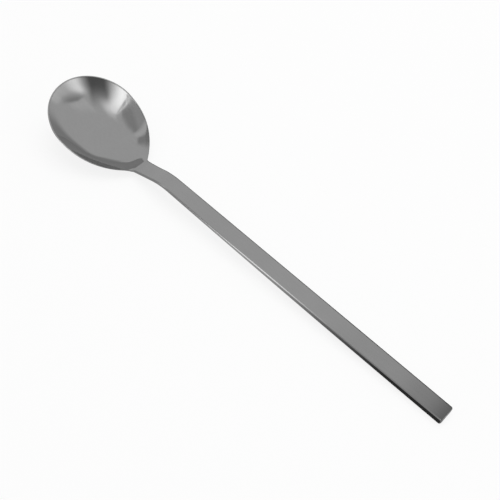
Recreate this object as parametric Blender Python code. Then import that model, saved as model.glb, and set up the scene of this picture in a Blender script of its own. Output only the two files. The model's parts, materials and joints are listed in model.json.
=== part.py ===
"""Serving spoon: a pressed egg-shaped bowl welded to a bent, tapering flat-bar handle."""

import math

import bmesh
import bpy
from mathutils import Vector

# Handle bar, measured along its upper face from the free end
HANDLE_LENGTH = 0.1672
BEND_RADIUS = 0.0325
BEND_ANGLE = math.radians(21.8)
NECK_LENGTH = 0.0149
HANDLE_WIDTH = 0.0084
NECK_WIDTH = 0.0087
HANDLE_THICKNESS = 0.0038
NECK_THICKNESS = 0.0016
EDGE_RADIUS = 0.0006
END_CORNER_RADIUS = 0.0010

# Bowl, measured in the plane of its rim from the straight edge at the neck
BOWL_LENGTH = 0.0602
BOWL_WIDTH = 0.0466
BOWL_DEPTH = 0.0092
SHEET_THICKNESS = 0.0012
RIM_WIDTH = 0.0013
RIM_TILT = math.radians(16.8)
BOWL_EDGE_WIDTH = 0.0101
BOWL_EDGE_DEPTH = 0.0017
WIDEST_FROM_EDGE = 0.0350
FLOOR_FROM_EDGE = 0.0230
SHOULDER_ANGLE = math.radians(53.0)
SHOULDER_PULL = 0.0129
SIDE_PULL_TO_NECK = 0.0167
SIDE_PULL_TO_TIP = 0.0122
TIP_PULL = 0.0132
WALL_POWER = 2.3
OUTLINE_POWER = 1.5
FOOT_FLAT_DEPTH = 0.0002

# Weld between the bar and the bowl
WELD_LENGTH = 0.0030
FILLET_POWER = 2.5
JOINT_GAP = 0.0003

# Facets
SIDE_STEPS = 14
EDGE_STEPS = 4
RING_COUNT = 10
BEND_STEPS = 8
ROUND_STEPS = 5
EDGE_ROUND_STEPS = 2
WELD_STEPS = 4

STEEL_COLOUR = (0.50, 0.50, 0.50, 1.0)
WELD_COLOUR = (0.46, 0.46, 0.46, 1.0)

FACE_LENGTH = HANDLE_LENGTH + BEND_RADIUS * BEND_ANGLE + NECK_LENGTH
BAR_LENGTH = FACE_LENGTH - WELD_LENGTH


def clear_scene():
    for item in list(bpy.data.objects):
        bpy.data.objects.remove(item, do_unlink=True)


def steel(name, colour, roughness):
    material = bpy.data.materials.new(name)
    material.use_nodes = True
    shader = material.node_tree.nodes["Principled BSDF"]
    shader.inputs["Base Color"].default_value = colour
    shader.inputs["Metallic"].default_value = 1.0
    shader.inputs["Roughness"].default_value = roughness
    return material


def mix(start, end, share):
    return start + (end - start) * share


def face_line(distance):
    """Point of the handle's upper face on its centre line, and the slope there."""
    if distance <= HANDLE_LENGTH:
        return Vector((distance, 0.0, 0.0)), 0.0
    turned = min((distance - HANDLE_LENGTH) / BEND_RADIUS, BEND_ANGLE)
    beyond = distance - HANDLE_LENGTH - BEND_RADIUS * turned
    x = HANDLE_LENGTH + BEND_RADIUS * math.sin(turned) + beyond * math.cos(turned)
    z = BEND_RADIUS * (math.cos(turned) - 1.0) - beyond * math.sin(turned)
    return Vector((x, 0.0, z)), -turned


def bar_width(distance):
    return mix(HANDLE_WIDTH, NECK_WIDTH, distance / FACE_LENGTH)


def bar_thickness(distance):
    return mix(HANDLE_THICKNESS, NECK_THICKNESS, distance / FACE_LENGTH)


def section(origin, slope, half_width, thickness):
    """Rounded rectangle hanging from a point of the upper face, square to the slope."""
    down = Vector((math.sin(slope), 0.0, -math.cos(slope)))
    radius = min(EDGE_RADIUS, half_width / 2.0, thickness / 2.0)
    corners = (
        (half_width - radius, radius, 270.0),
        (radius - half_width, radius, 180.0),
        (radius - half_width, thickness - radius, 90.0),
        (half_width - radius, thickness - radius, 0.0),
    )
    points = []
    for across, depth, start in corners:
        for step in range(EDGE_ROUND_STEPS + 1):
            angle = math.radians(start + 90.0 - 90.0 * step / EDGE_ROUND_STEPS)
            side = across + radius * math.cos(angle)
            points.append(origin + Vector((0.0, side, 0.0)) + down * (depth + radius * math.sin(angle)))
    return points


def loft(name, sections, material):
    """Closed solid through a row of sections with the same number of points."""
    shape = bmesh.new()
    rows = [[shape.verts.new(point) for point in points] for points in sections]
    for row, following in zip(rows, rows[1:]):
        for index in range(len(row)):
            after = (index + 1) % len(row)
            shape.faces.new((row[index], row[after], following[after], following[index]))
    shape.faces.new(rows[0])
    shape.faces.new(rows[-1])
    return finish(name, shape, material)


def finish(name, shape, material):
    bmesh.ops.recalc_face_normals(shape, faces=shape.faces)
    mesh = bpy.data.meshes.new(name)
    shape.to_mesh(mesh)
    shape.free()
    mesh.shade_smooth()
    mesh.set_sharp_from_angle(angle=math.radians(35.0))
    mesh.materials.append(material)
    item = bpy.data.objects.new(name, mesh)
    bpy.context.collection.objects.link(item)
    return item


def make_handle():
    """Flat bar: rounded plan corners at the free end, straight, one bend, straight to the weld."""
    sections = []
    for step in range(ROUND_STEPS + 1):
        angle = math.pi / 2.0 * step / ROUND_STEPS
        distance = END_CORNER_RADIUS * (1.0 - math.cos(angle))
        origin, slope = face_line(distance)
        half_width = bar_width(distance) / 2.0 - END_CORNER_RADIUS * (1.0 - math.sin(angle))
        sections.append(section(origin, slope, half_width, bar_thickness(distance)))
    stations = [HANDLE_LENGTH + BEND_RADIUS * BEND_ANGLE * step / BEND_STEPS for step in range(BEND_STEPS + 1)]
    stations.append(BAR_LENGTH)
    for distance in stations:
        origin, slope = face_line(distance)
        sections.append(section(origin, slope, bar_width(distance) / 2.0, bar_thickness(distance)))
    return loft("handle", sections, steel("handle_steel", STEEL_COLOUR, 0.30))


def bowl_point(along, across, depth):
    """Point given in the plane of the rim: along from the neck edge, across, and below."""
    edge, _ = face_line(FACE_LENGTH)
    forward = Vector((math.cos(RIM_TILT), 0.0, math.sin(RIM_TILT)))
    normal = Vector((-math.sin(RIM_TILT), 0.0, math.cos(RIM_TILT)))
    return edge + forward * along + Vector((0.0, across, 0.0)) - normal * depth


def bezier(start, first, second, end, share):
    rest = 1.0 - share
    weights = (rest ** 3, 3.0 * rest ** 2 * share, 3.0 * rest * share ** 2, share ** 3)
    along = sum(weight * point[0] for weight, point in zip(weights, (start, first, second, end)))
    across = sum(weight * point[1] for weight, point in zip(weights, (start, first, second, end)))
    return along, across


def rim_outline():
    """Egg-shaped outline as (along, across), from the neck edge's corner round and back along the edge."""
    corner = (0.0, BOWL_EDGE_WIDTH / 2.0)
    widest = (WIDEST_FROM_EDGE, BOWL_WIDTH / 2.0)
    tip = (BOWL_LENGTH, 0.0)
    shoulder = (
        SHOULDER_PULL * math.cos(SHOULDER_ANGLE),
        corner[1] + SHOULDER_PULL * math.sin(SHOULDER_ANGLE),
    )
    before_widest = (widest[0] - SIDE_PULL_TO_NECK, widest[1])
    after_widest = (widest[0] + SIDE_PULL_TO_TIP, widest[1])
    beside_tip = (tip[0], TIP_PULL)
    half = [bezier(corner, shoulder, before_widest, widest, step / SIDE_STEPS) for step in range(SIDE_STEPS)]
    half += [bezier(widest, after_widest, beside_tip, tip, step / SIDE_STEPS) for step in range(SIDE_STEPS)]
    other = [(along, -across) for along, across in reversed(half)]
    edge = [(0.0, mix(-corner[1], corner[1], step / EDGE_STEPS)) for step in range(1, EDGE_STEPS)]
    return half + [tip] + other + edge


def oval_radius(forward, across):
    """Radius of the floor's plain oval, in the direction of an outline point."""
    reach = BOWL_LENGTH - FLOOR_FROM_EDGE if forward > 0.0 else FLOOR_FROM_EDGE
    distance = math.hypot(forward, across)
    return distance / math.hypot(forward / reach, across / (BOWL_WIDTH / 2.0))


def ring(outline, size, depth_at_rim, depth_at_floor):
    """One level of a bowl surface: the rim's outline at full size, nearing a plain oval at the floor."""
    points = []
    fall = 1.0 - size ** WALL_POWER
    for (along, across), rim_depth in zip(outline, depth_at_rim):
        forward = along - FLOOR_FROM_EDGE
        distance = math.hypot(forward, across)
        rounded = mix(oval_radius(forward, across), distance, size ** OUTLINE_POWER)
        scale = size * rounded / distance
        depth = mix(rim_depth, depth_at_floor, fall)
        points.append(bowl_point(FLOOR_FROM_EDGE + forward * scale, across * scale, depth))
    return points


def make_bowl():
    """Shell: the hollow inside, the outside a sheet's thickness below it, and the flat rim between them."""
    outer = rim_outline()
    shrink_along = (BOWL_LENGTH - RIM_WIDTH) / BOWL_LENGTH
    shrink_across = (BOWL_WIDTH / 2.0 - RIM_WIDTH) / (BOWL_WIDTH / 2.0)
    inner = [(along * shrink_along, across * shrink_across) for along, across in outer]
    level = [0.0] * len(outer)
    lowered = [BOWL_EDGE_DEPTH if along == 0.0 else 0.0 for along, _ in outer]
    sizes = [1.0 - step / RING_COUNT for step in range(RING_COUNT)]
    under_floor = BOWL_DEPTH + SHEET_THICKNESS

    shape = bmesh.new()
    outside = [ring(outer, size, lowered, under_floor) for size in sizes]
    inside = [ring(inner, size, level, BOWL_DEPTH) for size in sizes]
    rows = [[shape.verts.new(point) for point in points] for points in reversed(outside)]
    rows += [[shape.verts.new(point) for point in points] for points in inside]
    for row, following in zip(rows, rows[1:]):
        for index in range(len(row)):
            after = (index + 1) % len(row)
            shape.faces.new((row[index], row[after], following[after], following[index]))
    for row, depth in ((rows[0], under_floor), (rows[-1], BOWL_DEPTH)):
        middle = shape.verts.new(bowl_point(FLOOR_FROM_EDGE, 0.0, depth))
        for index in range(len(row)):
            shape.faces.new((row[index], row[(index + 1) % len(row)], middle))
    return finish("bowl", shape, steel("bowl_steel", STEEL_COLOUR, 0.25))


def make_weld():
    """Weld metal: as wide and thick as the bar at one end, flaring to the bowl's straight edge."""
    meeting_angle = BEND_ANGLE + RIM_TILT
    first = BAR_LENGTH + JOINT_GAP
    last = FACE_LENGTH - JOINT_GAP / math.cos(meeting_angle)
    sections = []
    for step in range(WELD_STEPS + 1):
        share = step / WELD_STEPS
        origin, slope = face_line(mix(first, last, share))
        half_width = mix(bar_width(BAR_LENGTH), BOWL_EDGE_WIDTH, share ** FILLET_POWER) / 2.0
        thickness = mix(bar_thickness(BAR_LENGTH), BOWL_EDGE_DEPTH, share)
        sections.append(section(origin, mix(slope, RIM_TILT, share), half_width, thickness))
    return loft("neck_weld", sections, steel("weld_steel", WELD_COLOUR, 0.35))


def lay_down(bowl, handle, weld):
    """Rest the spoon on a small flat under its bowl and on its handle's heel, with the bowl towards -X."""
    heel = Vector((0.0, 0.0, -HANDLE_THICKNESS))
    corners = [vertex.co for vertex in bowl.data.vertices]
    pitch = min(math.atan2(point.z + FOOT_FLAT_DEPTH - heel.z, point.x - heel.x) for point in corners)
    table_normal = Vector((-math.sin(pitch), 0.0, math.cos(pitch)))
    for point in corners:
        height = (point - heel).dot(table_normal)
        if height < 0.0:
            point -= height * table_normal

    tip = bowl_point(BOWL_LENGTH, 0.0, 0.0)
    top_end = Vector((0.0, 0.0, 0.0))
    reach = [-(point.x * math.cos(pitch) + point.z * math.sin(pitch)) for point in (heel, top_end, tip)]
    rest = bpy.data.objects.new("rest", None)
    bpy.context.collection.objects.link(rest)
    rest.rotation_euler = (0.0, pitch, math.pi)
    rest.location.x = -(min(reach) + max(reach)) / 2.0
    rest.location.z = -heel.dot(table_normal)
    for piece in (bowl, handle, weld):
        piece.parent = rest


clear_scene()
lay_down(make_bowl(), make_handle(), make_weld())
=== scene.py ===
"""Serving spoon in satin steel, lying on a pale studio floor as in the photograph."""

import json
import math

import bpy
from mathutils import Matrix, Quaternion, Vector

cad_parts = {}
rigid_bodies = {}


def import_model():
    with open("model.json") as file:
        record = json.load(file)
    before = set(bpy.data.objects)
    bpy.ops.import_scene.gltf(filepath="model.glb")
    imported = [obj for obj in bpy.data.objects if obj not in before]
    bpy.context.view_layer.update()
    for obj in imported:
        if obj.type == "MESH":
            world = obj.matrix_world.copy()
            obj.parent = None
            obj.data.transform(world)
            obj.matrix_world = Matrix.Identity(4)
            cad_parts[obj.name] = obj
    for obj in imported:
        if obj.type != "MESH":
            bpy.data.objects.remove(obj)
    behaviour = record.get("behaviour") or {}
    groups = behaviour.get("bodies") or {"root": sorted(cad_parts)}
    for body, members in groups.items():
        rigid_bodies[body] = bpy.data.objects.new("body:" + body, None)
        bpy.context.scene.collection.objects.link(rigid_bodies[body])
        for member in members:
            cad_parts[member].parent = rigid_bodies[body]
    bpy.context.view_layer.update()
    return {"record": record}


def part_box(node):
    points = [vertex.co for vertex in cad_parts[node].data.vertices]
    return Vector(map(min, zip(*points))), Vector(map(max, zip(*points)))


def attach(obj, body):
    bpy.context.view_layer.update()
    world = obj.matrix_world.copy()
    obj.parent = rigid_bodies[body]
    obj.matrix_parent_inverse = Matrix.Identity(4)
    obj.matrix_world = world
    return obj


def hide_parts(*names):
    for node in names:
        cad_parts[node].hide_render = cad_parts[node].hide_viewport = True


for leftover in list(bpy.data.objects):
    bpy.data.objects.remove(leftover, do_unlink=True)

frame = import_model()


# How the spoon lies: on the bowl's underside and the heel of the handle, with the bowl towards -X.
# The handle's flat upper face gives the slope, and its free end is where the bar is measured from.
upper_face = next(mount for mount in frame["record"]["mounts"] if mount["name"] == "handle_top_face")
face_middle = Vector(upper_face["pos_m"])
UP = Vector(upper_face["axis"]).normalized()
ALONG = Vector((-UP.z, 0.0, UP.x))
FREE_END = face_middle + ALONG * (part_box("handle")[1].x - face_middle.x) / ALONG.x


# The view: from above the handle's free end and to one side, so that the handle runs from the
# lower right of the picture up to the bowl at the upper left.
VIEW_AZIMUTH = math.radians(43.75)
VIEW_ELEVATION = math.radians(55.24)
VIEW_ROLL = math.radians(0.66)
VIEW_DISTANCE = 0.378
VIEW_TARGET = Vector((0.00913, 0.00107, 0.00562))
FOCAL_PIXELS = 801.5
PICTURE_PIXELS = 500.0
NEAREST_SEEN = 0.01

towards_camera = Vector((
    math.sin(VIEW_AZIMUTH) * math.cos(VIEW_ELEVATION),
    -math.cos(VIEW_AZIMUTH) * math.cos(VIEW_ELEVATION),
    math.sin(VIEW_ELEVATION),
))
level_view = towards_camera.to_track_quat("Z", "Y")
lens = bpy.data.cameras.new("photo_view")
lens.lens = FOCAL_PIXELS * lens.sensor_width / PICTURE_PIXELS
lens.clip_start = NEAREST_SEEN
camera = bpy.data.objects.new("photo_view", lens)
camera.location = VIEW_TARGET + towards_camera * VIEW_DISTANCE
camera.rotation_euler = (Quaternion(towards_camera, VIEW_ROLL) @ level_view).to_euler()
bpy.context.scene.collection.objects.link(camera)
bpy.context.scene.camera = camera


# The bowl is one pressing of stainless sheet with a satin finish: an egg-shaped hollow whose walls
# rise evenly to a narrow rim ground flat. Its small end has a straight edge for the weld, where the
# hollow runs out of the neck's face without a crease.
BOWL_SIZES = {
    "Length": 0.0602,
    "Width": 0.0466,
    "Depth": 0.0092,
    "Sheet": 0.0012,
    "Rim Width": 0.0007,
    "Rim Round": 0.00025,
    "Edge Width": 0.0101,
    "Edge Depth": 0.0017,
    "Widest": 0.0350,
    "Floor Centre": 0.0230,
    "Wall Power": 2.3,
    "Outline Power": 1.5,
    "Shoulder Pull": 0.0129,
    "Neck Side Pull": 0.0167,
    "Tip Side Pull": 0.0125,
    "Tip Pull": 0.0135,
    "Neck Rise": 0.00045,
    "Neck Blend": 0.0040,
}
SHOULDER_ANGLE = math.radians(53.0)
RIM_TILT = math.radians(16.8)
RIM_INSET = 0.40
OUTLINE_POINTS = 256

# Steps of the bowl's mesh round the outline, from the middle of the straight edge to the tip, and
# from the underside's middle over the rim to the floor's middle.
EDGE_STEPS = 12
SIDE_STEPS = 56
OUTSIDE_RINGS = 44
RIM_STEPS = 16
INSIDE_RINGS = 80

# How many steps past the straight edge's corner each change of shape takes, and how much is softened.
CORNER_STEPS = 7.0
RISE_STEPS = 14.0
BLEND_STEPS = 8.0
CORNER_EASE_STEPS = (10.0, 20.0)
CORNER_EASE = 60
CORNER_SHARPNESS = 8.0
WALL_SOFTENING = 24
SOFT_WALL_START = (0.0, 0.12)
GROUND_RIM_START = (0.0, 0.1)

# Half a step tells one row or column from the next. The two lengths close seams and keep divisions
# sound, and faces that meet at more than the crease angle keep a sharp edge.
HALF_STEP = 0.5
SEAM_GAP = 0.000002
TINY_LENGTH = 0.000001
CREASE_ANGLE = math.radians(20.0)

BOWL_GREY = 0.50
BOWL_ROUGHNESS = 0.08
BOWL_GRAIN_PER_METRE = (90.0, 1500.0, 1500.0)
BOWL_GRAIN_DEPTH = 0.000006
RIM_LIGHTER = 0.06
RIM_SMOOTHER = 0.25

# The satin finish of all the steel: how the grain and the clouds of the polish show.
GRAIN_DETAIL = 3.0
GRAIN_ROUGHNESS = 0.6
GRAIN_STRENGTH = 0.25
CLOUDS_PER_METRE = 70.0
CLOUD_DETAIL = 3.0
MIDDLE_LEVEL = 0.5
SHADE_BY_GRAIN = 0.12
SHADE_BY_CLOUD = 0.08
POLISH_BY_GRAIN = 0.50
POLISH_BY_CLOUD = 0.40

# The bar that carries the bowl: its course says where the bowl's straight edge lies.
NECK_BEND = math.radians(21.8)
BAR_SIZES = {
    "Straight Length": 0.1672,
    "Bend Radius": 0.0325,
    "Bend Angle": NECK_BEND,
    "Neck Length": 0.0149,
}


def feed(tree, term, socket):
    """Gives a socket a field or a plain number."""
    if isinstance(term, Field):
        tree.links.new(term.socket, socket)
    else:
        socket.default_value = term


class Field:
    """A value that varies over a shape or a surface, put together from math nodes with plain signs."""

    def __init__(self, tree, socket):
        self.tree = tree
        self.socket = socket

    def calc(self, operation, *others):
        node = self.tree.nodes.new("ShaderNodeMath")
        node.operation = operation
        for socket, term in zip(node.inputs, (self,) + others):
            feed(self.tree, term, socket)
        return Field(self.tree, node.outputs[0])

    def __add__(self, other):
        return self.calc("ADD", other)

    def __sub__(self, other):
        return self.calc("SUBTRACT", other)

    def __rsub__(self, other):
        return self.calc("MULTIPLY", -1.0) + other

    def __mul__(self, other):
        return self.calc("MULTIPLY", other)

    def __truediv__(self, other):
        return self.calc("DIVIDE", other)

    def __pow__(self, other):
        return self.calc("POWER", other)

    def __lt__(self, other):
        return self.calc("LESS_THAN", other)

    def __gt__(self, other):
        return self.calc("GREATER_THAN", other)

    __radd__ = __add__
    __rmul__ = __mul__

    def sin(self):
        return self.calc("SINE")

    def cos(self):
        return self.calc("COSINE")

    def root(self):
        return self.calc("SQRT")

    def whole(self):
        return self.calc("FLOOR")

    def magnitude(self):
        return self.calc("ABSOLUTE")

    def least(self, other):
        return self.calc("MINIMUM", other)

    def most(self, other):
        return self.calc("MAXIMUM", other)

    def between(self, low, high):
        return self.most(low).least(high)

    def ramp(self, low, high):
        """Soft step from 0 at low to 1 at high."""
        node = self.tree.nodes.new("ShaderNodeMapRange")
        node.interpolation_type = "SMOOTHSTEP"
        self.tree.links.new(self.socket, node.inputs["Value"])
        node.inputs["From Min"].default_value = low
        node.inputs["From Max"].default_value = high
        return Field(self.tree, node.outputs["Result"])


def blend(start, end, share):
    return start + (end - start) * share


def choose(test, yes, no):
    """yes where the test is 1, and no where it is 0."""
    return blend(no, yes, test)


def point(tree, *terms):
    """A place from its coordinates, which are fields or plain numbers."""
    place = tree.nodes.new("ShaderNodeCombineXYZ")
    for socket, term in zip(place.inputs, terms):
        feed(tree, term, socket)
    return place.outputs[0]


def coordinates(tree, place):
    """The three coordinates of a place, as fields."""
    split = tree.nodes.new("ShaderNodeSeparateXYZ")
    tree.links.new(place, split.inputs[0])
    return [Field(tree, socket) for socket in split.outputs]


def shape_tree(name, sizes):
    """Node tree with one named input for each size, and those inputs as fields."""
    tree = bpy.data.node_groups.new(name, "GeometryNodeTree")
    tree.interface.new_socket("Geometry", in_out="OUTPUT", socket_type="NodeSocketGeometry")
    for label in sizes:
        tree.interface.new_socket(label, in_out="INPUT", socket_type="NodeSocketFloat")
    start = tree.nodes.new("NodeGroupInput")
    return tree, {label: Field(tree, start.outputs[label]) for label in sizes}


def sheet_grid(tree, columns, rows):
    """A grid of points, with its column and row numbers as fields."""
    grid = tree.nodes.new("GeometryNodeMeshGrid")
    grid.inputs["Vertices X"].default_value = columns
    grid.inputs["Vertices Y"].default_value = rows
    index = Field(tree, tree.nodes.new("GeometryNodeInputIndex").outputs[0])
    column = ((index + HALF_STEP) / rows).whole()
    return grid.outputs["Mesh"], column, index - column * rows


def placed(tree, mesh, place):
    """Moves the points of a mesh to their places."""
    move = tree.nodes.new("GeometryNodeSetPosition")
    tree.links.new(mesh, move.inputs["Geometry"])
    tree.links.new(place, move.inputs["Position"])
    return move.outputs["Geometry"]


def softened(tree, place, weight, passes):
    """Evens out the places of neighbouring points, as far as the weight allows."""
    ease = tree.nodes.new("GeometryNodeBlurAttribute")
    ease.data_type = "FLOAT_VECTOR"
    ease.inputs["Iterations"].default_value = passes
    tree.links.new(place, ease.inputs["Value"])
    tree.links.new(weight, ease.inputs["Weight"])
    return ease.outputs["Value"]


def marked(mesh, name, value):
    """Keeps a field on the mesh under a name, for the metal's finish."""
    store = value.tree.nodes.new("GeometryNodeStoreNamedAttribute")
    store.data_type = "FLOAT"
    store.domain = "POINT"
    store.inputs["Name"].default_value = name
    value.tree.links.new(mesh, store.inputs["Geometry"])
    value.tree.links.new(value.socket, store.inputs["Value"])
    return store.outputs["Geometry"]


def joined(tree, mesh):
    """Closes the seams of a mesh, where its points meet."""
    merge = tree.nodes.new("GeometryNodeMergeByDistance")
    merge.inputs["Distance"].default_value = SEAM_GAP
    tree.links.new(mesh, merge.inputs["Geometry"])
    return merge.outputs["Geometry"]


def finished(tree, mesh, metal):
    """Ends a tree: smooth shading, one real mesh, and its metal."""
    for kind in ("GeometryNodeSetShadeSmooth", "GeometryNodeRealizeInstances", "GeometryNodeSetMaterial"):
        node = tree.nodes.new(kind)
        tree.links.new(mesh, node.inputs["Geometry"])
        mesh = node.outputs["Geometry"]
    node.inputs["Material"].default_value = metal
    tree.links.new(mesh, tree.nodes.new("NodeGroupOutput").inputs["Geometry"])


def shaped(name, tree, sizes):
    """Plain mesh object made by a tree with its sizes filled in."""
    item = bpy.data.objects.new(name, bpy.data.meshes.new(name))
    bpy.context.scene.collection.objects.link(item)
    modifier = item.modifiers.new("shape", "NODES")
    modifier.node_group = tree
    for socket in tree.interface.items_tree:
        if socket.in_out == "INPUT":
            modifier[socket.identifier] = sizes[socket.name]
    evaluated = item.evaluated_get(bpy.context.evaluated_depsgraph_get())
    mesh = bpy.data.meshes.new_from_object(evaluated)
    item.modifiers.remove(modifier)
    item.data = mesh
    mesh.set_sharp_from_angle(angle=CREASE_ANGLE)
    return item


def steel(name, grey, roughness, grain_per_metre, grain_depth):
    """Brushed steel with fine grain lines and a slightly uneven polish.

    Returns the metal with its shade and its polish, which a piece's own finish can still change.
    """
    metal = bpy.data.materials.new(name)
    metal.use_nodes = True
    tree = metal.node_tree
    shader = tree.nodes["Principled BSDF"]
    shader.inputs["Metallic"].default_value = 1.0

    where = tree.nodes.new("ShaderNodeTexCoord")
    lines = tree.nodes.new("ShaderNodeMapping")
    lines.inputs["Scale"].default_value = grain_per_metre
    tree.links.new(where.outputs["Object"], lines.inputs["Vector"])
    grain = tree.nodes.new("ShaderNodeTexNoise")
    grain.inputs["Scale"].default_value = 1.0
    grain.inputs["Detail"].default_value = GRAIN_DETAIL
    grain.inputs["Roughness"].default_value = GRAIN_ROUGHNESS
    tree.links.new(lines.outputs["Vector"], grain.inputs["Vector"])
    cloud = tree.nodes.new("ShaderNodeTexNoise")
    cloud.inputs["Scale"].default_value = CLOUDS_PER_METRE
    cloud.inputs["Detail"].default_value = CLOUD_DETAIL
    tree.links.new(where.outputs["Object"], cloud.inputs["Vector"])
    grain_level = Field(tree, grain.outputs[0]) - MIDDLE_LEVEL
    cloud_level = Field(tree, cloud.outputs[0]) - MIDDLE_LEVEL

    scratch = tree.nodes.new("ShaderNodeBump")
    scratch.inputs["Strength"].default_value = GRAIN_STRENGTH
    scratch.inputs["Distance"].default_value = grain_depth
    tree.links.new(grain.outputs[0], scratch.inputs["Height"])
    tree.links.new(scratch.outputs["Normal"], shader.inputs["Normal"])
    shade = grey * (1.0 + SHADE_BY_GRAIN * grain_level + SHADE_BY_CLOUD * cloud_level)
    polish = roughness * (1.0 + POLISH_BY_GRAIN * grain_level + POLISH_BY_CLOUD * cloud_level)
    return metal, shade, polish


def mark(tree, name):
    """A mark that the mesh carries, as a field of its metal."""
    node = tree.nodes.new("ShaderNodeAttribute")
    node.attribute_name = name
    return Field(tree, node.outputs["Fac"])


def coated(metal, shade, polish):
    """Gives the metal its shade of grey and its polish."""
    tree = metal.node_tree
    shader = tree.nodes["Principled BSDF"]
    grey = tree.nodes.new("ShaderNodeCombineColor")
    for socket in grey.inputs:
        tree.links.new(shade.socket, socket)
    tree.links.new(grey.outputs[0], shader.inputs["Base Color"])
    tree.links.new(polish.socket, shader.inputs["Roughness"])


bowl_tree, size = shape_tree("bowl_pressing", BOWL_SIZES)


def outline_part(start, first, second, end, share):
    """Along and across of one stretch of the rim's outline, at a share of its length."""
    curve = bowl_tree.nodes.new("GeometryNodeCurvePrimitiveBezierSegment")
    curve.mode = "POSITION"
    curve.inputs["Resolution"].default_value = OUTLINE_POINTS
    for label, place in zip(("Start", "Start Handle", "End Handle", "End"), (start, first, second, end)):
        bowl_tree.links.new(point(bowl_tree, *place), curve.inputs[label])
    sample = bowl_tree.nodes.new("GeometryNodeSampleCurve")
    sample.mode = "FACTOR"
    bowl_tree.links.new(curve.outputs[0], sample.inputs["Curves"])
    bowl_tree.links.new(share.socket, sample.inputs["Factor"])
    along, across, _ = coordinates(bowl_tree, sample.outputs["Position"])
    return along, across


columns = EDGE_STEPS + 2 * SIDE_STEPS + 1
rows = OUTSIDE_RINGS + RIM_STEPS + INSIDE_RINGS + 1
grid, column, row = sheet_grid(bowl_tree, columns, rows)
past_edge = column - EDGE_STEPS

half_edge = size["Edge Width"] * 0.5
half_width = size["Width"] * 0.5
widest_place = (size["Widest"], half_width)
neck_side_along, neck_side_across = outline_part(
    (0.0, half_edge),
    (
        size["Shoulder Pull"] * math.cos(SHOULDER_ANGLE),
        half_edge + size["Shoulder Pull"] * math.sin(SHOULDER_ANGLE),
    ),
    (size["Widest"] - size["Neck Side Pull"], half_width),
    widest_place,
    (past_edge / SIDE_STEPS).between(0.0, 1.0),
)
tip_side_along, tip_side_across = outline_part(
    widest_place,
    (size["Widest"] + size["Tip Side Pull"], half_width),
    (size["Length"], size["Tip Pull"]),
    (size["Length"], 0.0),
    ((past_edge - SIDE_STEPS) / SIDE_STEPS).between(0.0, 1.0),
)
past_widest = past_edge > SIDE_STEPS + HALF_STEP
rim_along = choose(past_widest, tip_side_along, neck_side_along)
rim_across = choose(past_widest, tip_side_across, neck_side_across) * (column / EDGE_STEPS).least(1.0)

# Below the rim the outline's corners at the straight edge are eased.
by_corner = (column > HALF_STEP) * (1.0 - past_edge.magnitude().ramp(*CORNER_EASE_STEPS))
rim_place = point(bowl_tree, rim_along, rim_across)
eased_place = softened(bowl_tree, rim_place, by_corner.socket, CORNER_EASE)
eased_along, eased_across, _ = coordinates(bowl_tree, eased_place)

on_outside = row < OUTSIDE_RINGS + HALF_STEP
outside_ring = (row / OUTSIDE_RINGS).least(1.0)
inside_ring = ((rows - 1.0 - row) / INSIDE_RINGS).least(1.0)
ring = outside_ring * inside_ring
rim_share = ((row - OUTSIDE_RINGS) / RIM_STEPS).between(0.0, 1.0)
on_inside = row > OUTSIDE_RINGS + RIM_STEPS - HALF_STEP

# Each ring is the outline drawn in towards the floor's middle, where it turns into an oval.
corner_share = ring ** CORNER_SHARPNESS
outline_along = blend(eased_along, rim_along, corner_share)
outline_across = blend(eased_across, rim_across, corner_share)
forward = outline_along * (1.0 - size["Rim Width"] / size["Length"] * rim_share) - size["Floor Centre"]
across = outline_across * (1.0 - size["Rim Width"] / half_width * rim_share)
distance = (forward * forward + across * across).root().most(TINY_LENGTH)
to_tip = size["Length"] - size["Floor Centre"]
oval_forward = forward / choose(forward > 0.0, to_tip, size["Floor Centre"])
oval_across = across / half_width
oval = distance / (oval_forward * oval_forward + oval_across * oval_across).root().most(TINY_LENGTH)
past_corner = (past_edge / CORNER_STEPS).between(0.0, 1.0)
rim_round = size["Rim Round"] * past_corner
within = 1.0 - RIM_INSET * rim_round / to_tip
scale = within * ring * blend(oval, distance, ring ** size["Outline Power"]) / distance
bowl_along = size["Floor Centre"] + forward * scale

# Depth is measured from the rim's plane. The rim's outer side drops at the straight edge, which is as
# deep as the weld, and there the rim rises a little with the neck.
edge_drop = size["Edge Depth"] * (1.0 - past_corner) ** 2.0
round_share = size["Rim Round"] / size["Rim Width"]
to_rim_edge = (1.0 - rim_share.least(1.0 - rim_share) / round_share).most(0.0)
rounding = rim_round * (1.0 - (1.0 - to_rim_edge * to_rim_edge).root())
risen = size["Neck Rise"] * (1.0 - past_edge.ramp(0.0, RISE_STEPS))
rim_depth = edge_drop * (1.0 - rim_share) + rounding - risen
floor_depth = choose(on_outside, size["Depth"] + size["Sheet"], size["Depth"])
wall_ring = choose(on_outside, ring, inside_ring)
wall_depth = blend(rim_depth, floor_depth, 1.0 - wall_ring ** size["Wall Power"])

# Next to the weld the hollow goes on from the neck's face, which falls steadily below the rim's plane.
bend_radius = BAR_SIZES["Bend Radius"]
neck_length = BAR_SIZES["Neck Length"]
neck_fall = math.tan(NECK_BEND + RIM_TILT - math.atan(2.0 * BOWL_SIZES["Neck Rise"] / neck_length))
by_neck = on_inside * (1.0 - (bowl_along / size["Neck Blend"]).ramp(0.0, 1.0))
by_neck = by_neck * (1.0 - past_edge.ramp(0.0, BLEND_STEPS))
depth = blend(wall_depth, neck_fall * bowl_along - size["Neck Rise"], by_neck)

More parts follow.
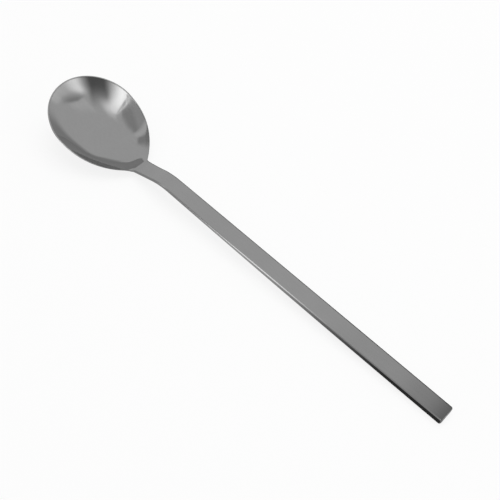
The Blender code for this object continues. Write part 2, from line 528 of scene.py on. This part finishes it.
neck_along = BAR_SIZES["Straight Length"] + bend_radius * math.sin(NECK_BEND)
neck_along = neck_along + neck_length * math.cos(NECK_BEND)
neck_drop = bend_radius * (1.0 - math.cos(NECK_BEND)) + neck_length * math.sin(NECK_BEND)
neck = FREE_END + ALONG * neck_along - UP * neck_drop
rim_forward = ALONG * math.cos(RIM_TILT) + UP * math.sin(RIM_TILT)
rim_up = UP * math.cos(RIM_TILT) - ALONG * math.sin(RIM_TILT)
bowl_place = point(
    bowl_tree,
    bowl_along * rim_forward.x - depth * rim_up.x + neck.x,
    across * scale,
    (bowl_along * rim_forward.z - depth * rim_up.z + neck.z).most(0.0),
)
half_bowl = placed(bowl_tree, grid, bowl_place)
half_bowl = marked(half_bowl, "rim_ground", (rim_share * (1.0 - rim_share)).ramp(*GROUND_RIM_START))
half_bowl = marked(half_bowl, "pressed_wall", (1.0 - wall_ring).ramp(*SOFT_WALL_START))
other_half = bowl_tree.nodes.new("GeometryNodeTransform")
other_half.inputs["Scale"].default_value = (1.0, -1.0, 1.0)
bowl_tree.links.new(half_bowl, other_half.inputs["Geometry"])
turned_out = bowl_tree.nodes.new("GeometryNodeFlipFaces")
bowl_tree.links.new(other_half.outputs["Geometry"], turned_out.inputs["Mesh"])
halves = bowl_tree.nodes.new("GeometryNodeJoinGeometry")
bowl_tree.links.new(half_bowl, halves.inputs["Geometry"])
bowl_tree.links.new(turned_out.outputs["Mesh"], halves.inputs["Geometry"])
whole_bowl = joined(bowl_tree, halves.outputs["Geometry"])

pressed_wall = bowl_tree.nodes.new("GeometryNodeInputNamedAttribute")
pressed_wall.data_type = "FLOAT"
pressed_wall.inputs["Name"].default_value = "pressed_wall"
pressed_place = bowl_tree.nodes.new("GeometryNodeInputPosition").outputs[0]
soft_place = softened(bowl_tree, pressed_place, pressed_wall.outputs["Attribute"], WALL_SOFTENING)
soft_bowl = placed(bowl_tree, whole_bowl, soft_place)

bowl_steel, shade, polish = steel(
    "bowl_steel", BOWL_GREY, BOWL_ROUGHNESS, BOWL_GRAIN_PER_METRE, BOWL_GRAIN_DEPTH
)
ground = mark(bowl_steel.node_tree, "rim_ground")
coated(bowl_steel, shade * (1.0 + RIM_LIGHTER * ground), polish * (1.0 - RIM_SMOOTHER * ground))
finished(bowl_tree, soft_bowl, bowl_steel)

bowl = shaped("bowl_pressed", bowl_tree, BOWL_SIZES)
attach(bowl, "root")
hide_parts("bowl")


# The handle is one flat steel bar, rolled thinner towards the bowl and brushed along its faces. Its
# edges are broken, its free end has small round corners, and it is bent down once before the bowl.
HANDLE_SIZES = {
    **BAR_SIZES,
    "End Width": 0.0084,
    "Neck Width": 0.0087,
    "End Thickness": 0.0038,
    "Neck Thickness": 0.0016,
    "Break Width": 0.00048,
    "Break Drop": 0.00029,
    "Corner Round": 0.0010,
    "Weld Length": 0.0030,
    "Neck Rise": BOWL_SIZES["Neck Rise"],
    "Neck Flare": 0.0009,
    "Middle Swell": 0.0004,
    "Middle Sag": 0.0004,
}
BREAK_STEPS = 6
BREAK_FULLNESS = 0.08
QUARTER_TURN = math.pi / 2.0
CORNER_ROWS = 12
STRAIGHT_ROWS = 48
BEND_ROWS = 32
NECK_ROWS = 10

HANDLE_GREY = 0.50
HANDLE_ROUGHNESS = 0.14
HANDLE_GRAIN_PER_METRE = (40.0, 2200.0, 2200.0)
HANDLE_GRAIN_DEPTH = 0.00001

handle_tree, size = shape_tree("handle_bar", HANDLE_SIZES)


def bar_section(tree, rows):
    """Grid wrapped round a bar: each point's row, its side and face, and its place on the broken edge.

    The section has four edges, numbered round it: 0 and 3 on one side, 0 and 1 on the upper face.
    """
    columns = 4 * (BREAK_STEPS + 1) + 1
    grid, column, row = sheet_grid(tree, columns, rows)
    column = columns - 1.0 - column
    column = column - (column > columns - 1.0 - HALF_STEP) * (columns - 1.0)
    edge = ((column + HALF_STEP) / (BREAK_STEPS + 1.0)).whole()
    step = column - edge * (BREAK_STEPS + 1.0)
    side = 1.0 - 2.0 * ((edge - 1.5).magnitude() < 1.0)
    face = 2.0 * (edge < 1.5) - 1.0
    share = step / BREAK_STEPS
    share = choose((side * face) > 0.0, share, 1.0 - share)
    turn = share * QUARTER_TURN
    out = side * blend(1.0 - share, turn.cos(), BREAK_FULLNESS)
    up = face * blend(share, turn.sin(), BREAK_FULLNESS)
    not_cap = (row > HALF_STEP) * (row < rows - 1.0 - HALF_STEP)
    return grid, row, side, face, out, up, not_cap


rows = CORNER_ROWS + STRAIGHT_ROWS + BEND_ROWS + NECK_ROWS + 3
grid, row, side, face, out, up, not_cap = bar_section(handle_tree, rows)
bend_length = size["Bend Radius"] * size["Bend Angle"]
face_length = size["Straight Length"] + bend_length + size["Neck Length"]
past_cap = row - 1.0
corner_turn = (past_cap / CORNER_ROWS).between(0.0, 1.0) * QUARTER_TURN
straight_share = ((past_cap - CORNER_ROWS) / STRAIGHT_ROWS).between(0.0, 1.0)
bend_share = ((past_cap - CORNER_ROWS - STRAIGHT_ROWS) / BEND_ROWS).between(0.0, 1.0)
neck_share = ((past_cap - CORNER_ROWS - STRAIGHT_ROWS - BEND_ROWS) / NECK_ROWS).between(0.0, 1.0)
gone = (
    size["Corner Round"] * (1.0 - corner_turn.cos())
    + (size["Straight Length"] - size["Corner Round"]) * straight_share
    + bend_length * bend_share
    + (size["Neck Length"] - size["Weld Length"]) * neck_share
)
taper = gone / face_length
beyond = (gone - size["Straight Length"] - bend_length).most(0.0)
to_bowl = beyond / size["Neck Length"]
straight = (gone / size["Straight Length"]).least(1.0)
middle = 4.0 * straight * (1.0 - straight)

bar_width = blend(size["End Width"], size["Neck Width"], taper)
bar_width = bar_width + size["Neck Flare"] * to_bowl * to_bowl + size["Middle Swell"] * middle
half_width = bar_width * 0.5 - size["Corner Round"] * (1.0 - corner_turn.sin())
half_drop = blend(size["End Thickness"], size["Neck Thickness"], taper) * 0.5
to_end = (1.0 - gone / size["Break Drop"]).between(0.0, 1.0)
end_inset = size["Break Drop"] * (1.0 - (1.0 - to_end * to_end).root())
across = (side * (half_width - size["Break Width"]) + size["Break Width"] * out) * not_cap
level = face * (half_drop - end_inset - size["Break Drop"]) + size["Break Drop"] * up
drop = half_drop - level * not_cap

turned = bend_share * size["Bend Angle"]
bar_along = gone.least(size["Straight Length"]) + size["Bend Radius"] * turned.sin() + beyond * turned.cos()
bar_along = bar_along - drop * turned.sin()
bar_up = size["Bend Radius"] * (turned.cos() - 1.0) - beyond * turned.sin()
bar_up = bar_up + size["Neck Rise"] * to_bowl * to_bowl - size["Middle Sag"] * middle
bar_up = bar_up - drop * turned.cos()
bar_place = point(
    handle_tree,
    bar_along * ALONG.x + bar_up * UP.x + FREE_END.x,
    across,
    bar_along * ALONG.z + bar_up * UP.z + FREE_END.z,
)
bar = placed(handle_tree, grid, bar_place)

handle_steel, shade, polish = steel(
    "handle_steel", HANDLE_GREY, HANDLE_ROUGHNESS, HANDLE_GRAIN_PER_METRE, HANDLE_GRAIN_DEPTH
)
coated(handle_steel, shade, polish)
finished(handle_tree, joined(handle_tree, bar), handle_steel)

handle = shaped("handle_bar", handle_tree, HANDLE_SIZES)
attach(handle, "root")
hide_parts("handle")


# The weld is filler metal run across the joint between the bar and the bowl's straight edge, ground
# flush with the handle's face and brushed over, with a small fillet left in both inside corners.
WELD_SIZES = {
    **HANDLE_SIZES,
    "Joint Width": BOWL_SIZES["Edge Width"],
    "Joint Depth": BOWL_SIZES["Edge Depth"],
    "Rim Tilt": RIM_TILT,
    "Fillet Power": 2.5,
}
WELD_ROWS = 18

WELD_GREY = 0.49
WELD_ROUGHNESS = 0.13
WELD_GRAIN_PER_METRE = (300.0, 1500.0, 1500.0)
WELD_GRAIN_DEPTH = 0.00001

weld_tree, size = shape_tree("weld_metal", WELD_SIZES)
rows = WELD_ROWS + 3
grid, row, side, face, out, up, not_cap = bar_section(weld_tree, rows)
share = ((row - 1.0) / WELD_ROWS).between(0.0, 1.0)
face_length = size["Straight Length"] + size["Bend Radius"] * size["Bend Angle"] + size["Neck Length"]
taper = 1.0 - size["Weld Length"] / face_length
beyond = size["Neck Length"] - size["Weld Length"] * (1.0 - share)
to_bowl = beyond / size["Neck Length"]
to_weld = 1.0 - size["Weld Length"] / size["Neck Length"]
bar_width = blend(size["End Width"], size["Neck Width"], taper) + size["Neck Flare"] * to_weld * to_weld
bar_thickness = blend(size["End Thickness"], size["Neck Thickness"], taper)
half_width = blend(bar_width, size["Joint Width"], share ** size["Fillet Power"]) * 0.5
half_drop = blend(bar_thickness, size["Joint Depth"], share) * 0.5
across = (side * (half_width - size["Break Width"]) + size["Break Width"] * out) * not_cap
drop = half_drop - (face * (half_drop - size["Break Drop"]) + size["Break Drop"] * up) * not_cap

turned = size["Bend Angle"]
lean = blend(turned, size["Rim Tilt"] * -1.0, share)
weld_along = size["Straight Length"] + size["Bend Radius"] * turned.sin() + beyond * turned.cos()
weld_along = weld_along - drop * lean.sin()
weld_up = size["Bend Radius"] * (turned.cos() - 1.0) - beyond * turned.sin()
weld_up = weld_up + size["Neck Rise"] * to_bowl * to_bowl - drop * lean.cos()
weld_place = point(
    weld_tree,
    weld_along * ALONG.x + weld_up * UP.x + FREE_END.x,
    across,
    weld_along * ALONG.z + weld_up * UP.z + FREE_END.z,
)
bead = placed(weld_tree, grid, weld_place)

weld_steel, shade, polish = steel(
    "weld_steel", WELD_GREY, WELD_ROUGHNESS, WELD_GRAIN_PER_METRE, WELD_GRAIN_DEPTH
)
coated(weld_steel, shade, polish)
finished(weld_tree, joined(weld_tree, bead), weld_steel)

weld = shaped("neck_weld_metal", weld_tree, WELD_SIZES)
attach(weld, "root")
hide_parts("neck_weld")


# The floor is a plain white round sweep that keeps the spoon's soft shadow. Well away from the spoon
# it turns up a little.
FLOOR_RADIUS = 3.0
SWEEP_RADIUS = 4.0
SWEEP_RISE = 0.36
SWEEP_SIDES = 64
FLOOR_GREY = 0.93
FLOOR_WHITE_SHARE = 0.85

floor_points = []
for reach, rise in ((FLOOR_RADIUS, 0.0), (SWEEP_RADIUS, SWEEP_RISE)):
    for step in range(SWEEP_SIDES):
        turn = 2.0 * math.pi * step / SWEEP_SIDES
        floor_points.append((reach * math.cos(turn), reach * math.sin(turn), rise))
floor_faces = [tuple(range(SWEEP_SIDES))]
for step in range(SWEEP_SIDES):
    following = (step + 1) % SWEEP_SIDES
    floor_faces.append((step, step + SWEEP_SIDES, following + SWEEP_SIDES, following))
floor_mesh = bpy.data.meshes.new("floor")
floor_mesh.from_pydata(floor_points, [], floor_faces)
floor = bpy.data.objects.new("floor", floor_mesh)
bpy.context.scene.collection.objects.link(floor)
paint = bpy.data.materials.new("floor_paint")
paint.use_nodes = True
tree = paint.node_tree
tree.nodes.clear()
lit = tree.nodes.new("ShaderNodeBsdfDiffuse")
lit.inputs["Color"].default_value = (FLOOR_GREY, FLOOR_GREY, FLOOR_GREY, 1.0)
white = tree.nodes.new("ShaderNodeEmission")
rays = tree.nodes.new("ShaderNodeLightPath")
seen = Field(tree, rays.outputs["Is Camera Ray"]) + Field(tree, rays.outputs["Is Glossy Ray"])
seen = (seen + Field(tree, rays.outputs["Is Transmission Ray"])).least(1.0) * FLOOR_WHITE_SHARE
both = tree.nodes.new("ShaderNodeMixShader")
tree.links.new(seen.socket, both.inputs["Fac"])
tree.links.new(lit.outputs[0], both.inputs[1])
tree.links.new(white.outputs[0], both.inputs[2])
tree.links.new(both.outputs[0], tree.nodes.new("ShaderNodeOutputMaterial").inputs["Surface"])
floor_mesh.materials.append(paint)


# The room is an even soft grey with darker and paler zones, which the steel mirrors. A zone's sides
# are bearings from the camera's own, to the right, and its base and top are heights, all in degrees
# and each with the softness of that edge. The last value is how far the zone darkens or glows.
ROOM_LIGHT = 0.55
DARK_ZONES = {
    "behind_camera": {"left": (-4.0, 8.0), "right": (36.0, 9.0), "top": (57.5, 11.5), "depth": 0.78},
    "ledge": {"left": (52.0, 3.0), "right": (96.0, 8.0), "base": (79.2, 3.6), "depth": 0.40},
    "left_wall": {"left": (-88.0, 2.2), "right": (-38.0, 3.0), "top": (65.0, 8.5), "depth": 0.36},
    "left_gap": {"left": (-117.0, 6.0), "right": (-103.0, 2.0), "top": (42.0, 5.0), "depth": 0.38},
    "back_wall": {"left": (112.0, 6.0), "top": (19.0, 5.0), "depth": 0.41},
    "back_corner": {"right": (-172.0, 5.0), "top": (29.0, 4.0), "depth": 0.41},
}
PALE_ZONES = {
    "pale_wall": {"left": (47.0, 8.0), "right": (71.0, 15.0), "top": (74.6, 3.5), "glow": 0.64},
    "far_wall": {"left": (80.0, 8.0), "right": (108.0, 4.0), "top": (75.8, 2.5), "glow": 0.19},
    "overhead": {
        "left": (-14.0, 12.0), "right": (22.0, 14.0), "base": (62.0, 6.0), "top": (73.0, 6.0), "glow": 0.42,
    },
    "over_ledge": {"left": (58.0, 6.0), "right": (93.0, 8.0), "top": (95.0, 7.0), "glow": 0.09},
    "left_slit": {"left": (-100.0, 2.0), "right": (-92.0, 2.0), "top": (50.0, 9.0), "glow": 0.08},
}

# Slanted, bent and stepped edges of those zones: the bearing or height where each begins, with its
# softness where it is soft, and its slope or step.
DARK_LEAN_START = 50.0
DARK_LEAN = 1.2
WALL_SLOPE = 0.47
PALE_BEND = 56.0
PALE_BEND_SLOPE = 0.25
FAR_STEP_PLACE = (94.0, 5.0)
FAR_STEP = 2.2
LEDGE_TOP = 84.6
LEDGE_NEAR_BEND = 74.5
LEDGE_NEAR_SLOPE = 0.3
LEDGE_FAR_BEND = 86.0
LEDGE_FAR_SLOPE = 0.2
LEDGE_SOFT_PLACE = (82.0, 8.0)
LEDGE_SOFTER = 1.2
BACK_STEP_PLACE = (162.0, 8.0)
BACK_STEP = 11.0
LEFT_BEND = -60.0
LEFT_BEND_SLOPE = 0.35
LEFT_FOOT_TOP = (40.0, 7.0)
LEFT_FOOT_SHARE = 0.62

room = bpy.data.worlds.new("studio_room")
room.use_nodes = True
tree = room.node_tree
compass = tree.nodes.new("ShaderNodeTexCoord")
look_x, look_y, look_z = coordinates(tree, compass.outputs["Generated"])
front = look_x * math.sin(VIEW_AZIMUTH) - look_y * math.cos(VIEW_AZIMUTH)
right = look_x * math.cos(VIEW_AZIMUTH) + look_y * math.sin(VIEW_AZIMUTH)
bearing = right.calc("ARCTAN2", front) * math.degrees(1.0)
height = look_z.between(-1.0, 1.0).calc("ARCSINE") * math.degrees(1.0)


def past(value, edge, softness):
    """0 before an edge and 1 past it, in degrees."""
    return value.ramp(edge - softness, edge + softness)


def zone(edges, rise=height, to_right=bearing):
    """1 inside a zone of the room and 0 outside it, with its base and top on a rise of its own."""
    share = 1.0
    for edge, value in (("left", bearing), ("base", rise)):
        if edge in edges:
            share = share * past(value, *edges[edge])
    for edge, value in (("right", to_right), ("top", rise)):
        if edge in edges:
            share = share * (1.0 - past(value, *edges[edge]))
    return share


dark_side = bearing - DARK_LEAN * (height - DARK_LEAN_START).most(0.0)
wall_rise = height + WALL_SLOPE * bearing
pale_rise = wall_rise + PALE_BEND_SLOPE * (PALE_BEND - bearing).most(0.0)
far_rise = wall_rise - FAR_STEP * past(bearing, *FAR_STEP_PLACE)
ledge_rise = wall_rise + LEDGE_NEAR_SLOPE * (LEDGE_NEAR_BEND - bearing).most(0.0)
ledge_rise = ledge_rise + LEDGE_FAR_SLOPE * (bearing - LEDGE_FAR_BEND).most(0.0)
ledge_softness = 1.0 + LEDGE_SOFTER * past(bearing, *LEDGE_SOFT_PLACE)
above_ledge = past((ledge_rise - LEDGE_TOP) / ledge_softness, 0.0, 1.0)
back_rise = height - BACK_STEP * past(bearing, *BACK_STEP_PLACE)
left_rise = height - LEFT_BEND_SLOPE * (bearing - LEFT_BEND).least(0.0)
left_share = LEFT_FOOT_SHARE + (1.0 - LEFT_FOOT_SHARE) * past(height, *LEFT_FOOT_TOP)

dark = {
    "behind_camera": zone(DARK_ZONES["behind_camera"], to_right=dark_side),
    "ledge": zone(DARK_ZONES["ledge"], rise=wall_rise) * (1.0 - above_ledge),
    "left_wall": zone(DARK_ZONES["left_wall"], rise=left_rise) * left_share,
    "left_gap": zone(DARK_ZONES["left_gap"]),
    "back_wall": zone(DARK_ZONES["back_wall"], rise=back_rise),
    "back_corner": zone(DARK_ZONES["back_corner"]),
}
pale = {
    "pale_wall": zone(PALE_ZONES["pale_wall"], rise=pale_rise),
    "far_wall": zone(PALE_ZONES["far_wall"], rise=far_rise),
    "overhead": zone(PALE_ZONES["overhead"]),
    "over_ledge": zone(PALE_ZONES["over_ledge"], rise=wall_rise) * above_ledge,
    "left_slit": zone(PALE_ZONES["left_slit"]),
}

light = ROOM_LIGHT
for name, share in dark.items():
    light = light * (1.0 - DARK_ZONES[name]["depth"] * share)
for name, share in pale.items():
    light = light + PALE_ZONES[name]["glow"] * share
tree.nodes["Background"].inputs["Color"].default_value = (1.0, 1.0, 1.0, 1.0)
tree.links.new(light.socket, tree.nodes["Background"].inputs["Strength"])
bpy.context.scene.world = room


# A narrow soft box leans over the spoon from the near side, to the left of the camera. A thin strip
# runs along the clear left edge of its main one, that edge is bowed a little at both ends, and the
# box fades out to the right and towards its top.
STRIP_WIDTH = 0.145
STRIP_LENGTH = 0.80
STRIP_FOOT = (-0.1894, -0.165, 0.0981)
STRIP_LEAN = math.radians(22.6)
STRIP_LIGHT = 2.1
STRIP_EDGE = 0.020
SIDE_STRIP_START = (0.0055, 0.0075)
SIDE_STRIP_END = (0.0115, 0.0130)
SIDE_STRIP_SHARE = 0.65
BETWEEN_STRIPS_SHARE = 0.15
MAIN_STRIP_START = (0.0210, 0.0230)
MAIN_STRIP_SHARE = 0.83
RIGHT_FADE = (0.059, 0.134)
TOP_FADE = (0.25, STRIP_LENGTH)
FALL_OFF_START = -0.04
FALL_OFF_LENGTH = 0.42
FALL_OFF_POWER = 1.6
TOP_BOW_START = 0.14
TOP_BOW = 0.45
FOOT_BOW_START = 0.050
FOOT_BOW_SLANT = 2.0
FOOT_BOW = 0.5


def card(name, width, length, place, turn):
    """A studio card with its corner at a place, which the camera does not see and which casts no shadow."""
    mesh = bpy.data.meshes.new(name)
    mesh.from_pydata([(0, 0, 0), (width, 0, 0), (width, length, 0), (0, length, 0)], [], [(0, 1, 2, 3)])
    item = bpy.data.objects.new(name, mesh)
    item.location = place
    item.rotation_euler = turn
    item.visible_camera = False
    item.visible_shadow = False
    item.visible_diffuse = False
    bpy.context.scene.collection.objects.link(item)
    surface = bpy.data.materials.new(name)
    surface.use_nodes = True
    tree = surface.node_tree
    tree.nodes.clear()
    where = tree.nodes.new("ShaderNodeTexCoord")
    mesh.materials.append(surface)
    across, along, _ = coordinates(tree, where.outputs["Object"])
    return tree, across, along


def cover(tree, brightness, share):
    """Lets a card glow evenly where the share is 1, and leaves it clear where it is 0."""
    glow = tree.nodes.new("ShaderNodeEmission")
    glow.inputs["Strength"].default_value = brightness
    both = tree.nodes.new("ShaderNodeMixShader")
    tree.links.new(share.socket, both.inputs["Fac"])
    tree.links.new(tree.nodes.new("ShaderNodeBsdfTransparent").outputs[0], both.inputs[1])
    tree.links.new(glow.outputs[0], both.inputs[2])
    tree.links.new(both.outputs[0], tree.nodes.new("ShaderNodeOutputMaterial").inputs["Surface"])


strip_turn = (QUARTER_TURN, STRIP_LEAN, 0.0)
tree, across, along = card("strip_box", STRIP_WIDTH, STRIP_LENGTH, STRIP_FOOT, strip_turn)
fall_off = 1.0 + ((along - FALL_OFF_START) / FALL_OFF_LENGTH) ** FALL_OFF_POWER
fade = (1.0 - along.ramp(*TOP_FADE)) * (1.0 - across.ramp(*RIGHT_FADE)) / fall_off
bowed = TOP_BOW * (along - TOP_BOW_START).most(0.0) ** 2.0
bowed = bowed + FOOT_BOW * (FOOT_BOW_START + FOOT_BOW_SLANT * across - along).most(0.0)
from_edge = across + bowed - STRIP_EDGE
side_share = blend(SIDE_STRIP_SHARE, BETWEEN_STRIPS_SHARE, from_edge.ramp(*SIDE_STRIP_END))
side_strip = from_edge.ramp(*SIDE_STRIP_START) * side_share
main_strip = from_edge.ramp(*MAIN_STRIP_START) * MAIN_STRIP_SHARE
cover(tree, STRIP_LIGHT, (side_strip + main_strip) * fade)


# Four black cards give the steel its dark edges. The card lying on the floor under the spoon is
# painted shadow: the camera never sees it, and in the steel it stands in for the spoon's contact
# shadow on the floor around it. The back card stands low behind the spoon, the handle card stands
# lower and closer along the handle, and the end card hangs above the handle's free end. A share says
# how dense a card is, from clear to black.
BLACK = 0.0
UPRIGHT = (QUARTER_TURN, 0.0, 0.0)
LYING = (0.0, 0.0, 0.0)
SHADOW_CARD_WIDTH = 0.30
SHADOW_CARD_LENGTH = 0.51
SHADOW_CARD_PLACE = (-0.15, -0.16, 0.0002)
SPOON_LINE = 0.16
BOWL_SHARE = 0.90
NEAR_BOWL_END = 0.08
NEAR_SHARE = 0.45
NEAR_NECK_MORE = 0.17
NEAR_NECK_END = (0.11, 0.14)
NEAR_HANDLE_MORE = 0.51
NEAR_HANDLE_START = (0.15, 0.25)
FAR_BOWL_END = 0.09
FAR_SHARE = 0.35
FAR_MORE = 0.55
FAR_START = (0.20, 0.26)
HANDLE_END_START = 0.275
HANDLE_END_SHARE = 0.68
HANDLE_END_SHIFT = 0.0045
BACK_CARD_WIDTH = 0.60
BACK_CARD_HEIGHT = 0.035
BACK_CARD_PLACE = (-0.35, 0.35, 0.0)
BACK_SHARE = 0.95
BACK_TOP_LESS = 0.6
BACK_TOP = (0.025, BACK_CARD_HEIGHT)
HANDLE_CARD_WIDTH = 0.21
HANDLE_CARD_HEIGHT = 0.020
HANDLE_CARD_PLACE = (-0.08, 0.05, 0.0)
BY_NECK_SHARE = 0.40
BY_HANDLE_MORE = 0.57
BY_HANDLE_START = (0.08, 0.16)
HANDLE_CARD_TOP = (0.016, HANDLE_CARD_HEIGHT)
END_CARD_WIDTH = 0.135
END_CARD_LENGTH = 0.10
END_CARD_PLACE = (0.03, 0.02, 0.12)
END_CARD_STEPS = ((0.08, (0.0, 0.03)), (0.18, (0.057, 0.070)), (0.46, (0.076, 0.094)))

# Painted shadow: this card shows only in the steel, in place of the spoon's contact shadow on the floor.
tree, across, along = card("edge_card", SHADOW_CARD_WIDTH, SHADOW_CARD_LENGTH, SHADOW_CARD_PLACE, LYING)
near_side = NEAR_SHARE + NEAR_NECK_MORE * (1.0 - across.ramp(*NEAR_NECK_END))
near_side = near_side + NEAR_HANDLE_MORE * across.ramp(*NEAR_HANDLE_START)
near_side = choose(across < NEAR_BOWL_END, BOWL_SHARE, near_side)
far_side = choose(across < FAR_BOWL_END, BOWL_SHARE, FAR_SHARE + FAR_MORE * along.ramp(*FAR_START))
by_handle_end = across > HANDLE_END_START
far_side = choose(by_handle_end, HANDLE_END_SHARE, far_side)
on_far_side = along > (SPOON_LINE - HANDLE_END_SHIFT * by_handle_end)
cover(tree, BLACK, choose(on_far_side, far_side, near_side))

tree, across, along = card("back_card", BACK_CARD_WIDTH, BACK_CARD_HEIGHT, BACK_CARD_PLACE, UPRIGHT)
cover(tree, BLACK, BACK_SHARE - BACK_TOP_LESS * along.ramp(*BACK_TOP))

tree, across, along = card("handle_card", HANDLE_CARD_WIDTH, HANDLE_CARD_HEIGHT, HANDLE_CARD_PLACE, UPRIGHT)
by_handle = BY_NECK_SHARE + BY_HANDLE_MORE * across.ramp(*BY_HANDLE_START)
cover(tree, BLACK, by_handle * (1.0 - along.ramp(*HANDLE_CARD_TOP)))

tree, across, along = card("end_card", END_CARD_WIDTH, END_CARD_LENGTH, END_CARD_PLACE, LYING)
cover(tree, BLACK, sum(share * across.ramp(*start) for share, start in END_CARD_STEPS))


# A wide lamp overhead lights the floor and leaves the spoon's soft shadow on it. The camera doesn't
# see the lamp, and the steel doesn't mirror it.
LAMP_WIDTH = 1.0
LAMP_POWER = 8.0
LAMP_PLACE = (0.0, 0.3, 1.2)
LAMP_TILT = math.radians(-14.0)

ceiling = bpy.data.lights.new("ceiling_lamp", "AREA")
ceiling.shape = "SQUARE"
ceiling.size = LAMP_WIDTH
ceiling.energy = LAMP_POWER
ceiling_lamp = bpy.data.objects.new("ceiling_lamp", ceiling)
ceiling_lamp.location = LAMP_PLACE
ceiling_lamp.rotation_euler = (LAMP_TILT, 0.0, 0.0)
ceiling_lamp.visible_camera = False
ceiling_lamp.visible_glossy = False
bpy.context.scene.collection.objects.link(ceiling_lamp)


# The picture's tones are shown as they are.
bpy.context.scene.view_settings.view_transform = "Standard"
